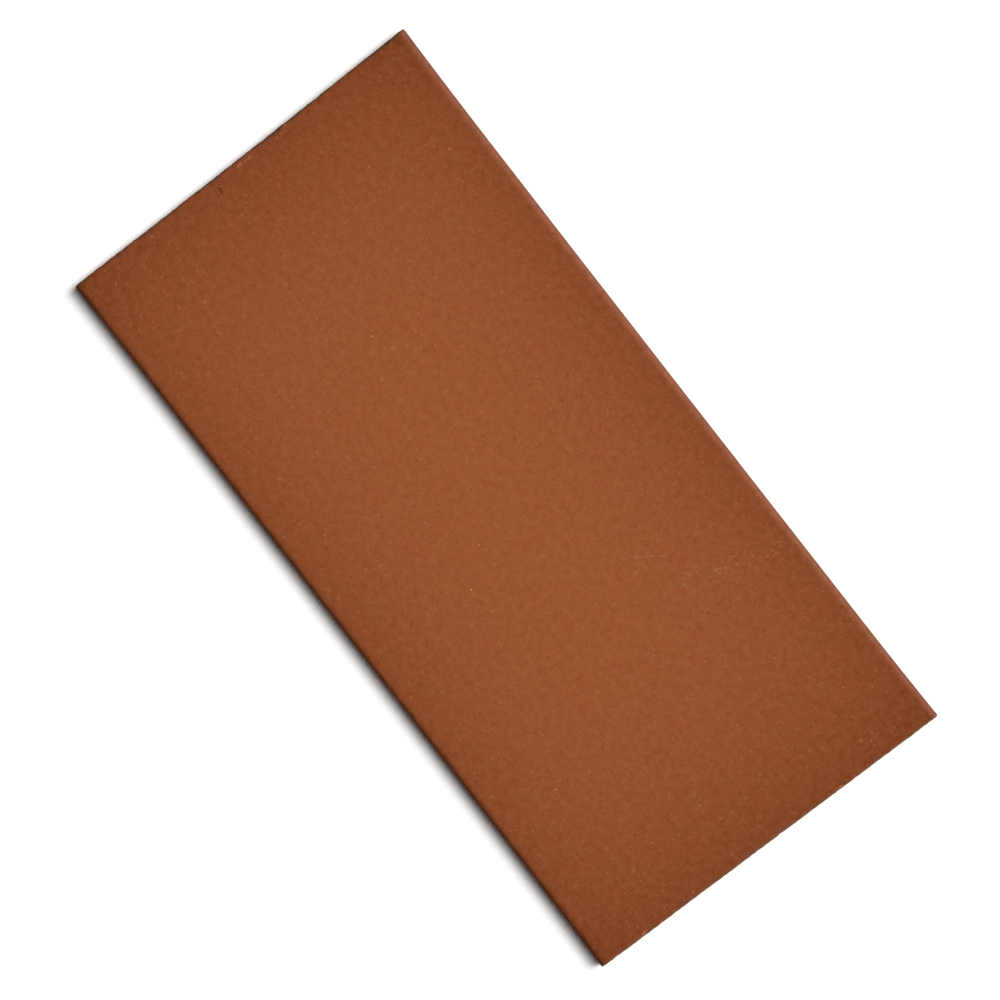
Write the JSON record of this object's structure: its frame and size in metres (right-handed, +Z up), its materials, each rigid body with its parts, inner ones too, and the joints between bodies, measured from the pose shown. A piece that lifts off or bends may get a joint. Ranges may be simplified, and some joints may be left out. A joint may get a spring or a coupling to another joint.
{
  "type": "split floor tile",
  "caption": "Flat oblong unglazed fired-clay floor tile, rounded along its long edges and wire-cut at its ends, with dovetail grooves along its back that key into the bedding mortar.",
  "frame": {"origin": "middle of the underside, level with the split ribs that the tile lies on", "axes": "+X along the extrusion, the tile's length; +Y across its width; +Z up out of the walking face"},
  "size_m": [0.24, 0.115, 0.011],
  "materials": {
    "fired_clay": "matte"
  },
  "bodies": {
    "root": {"tile_body": "fired_clay"}
  },
  "joints": []
}
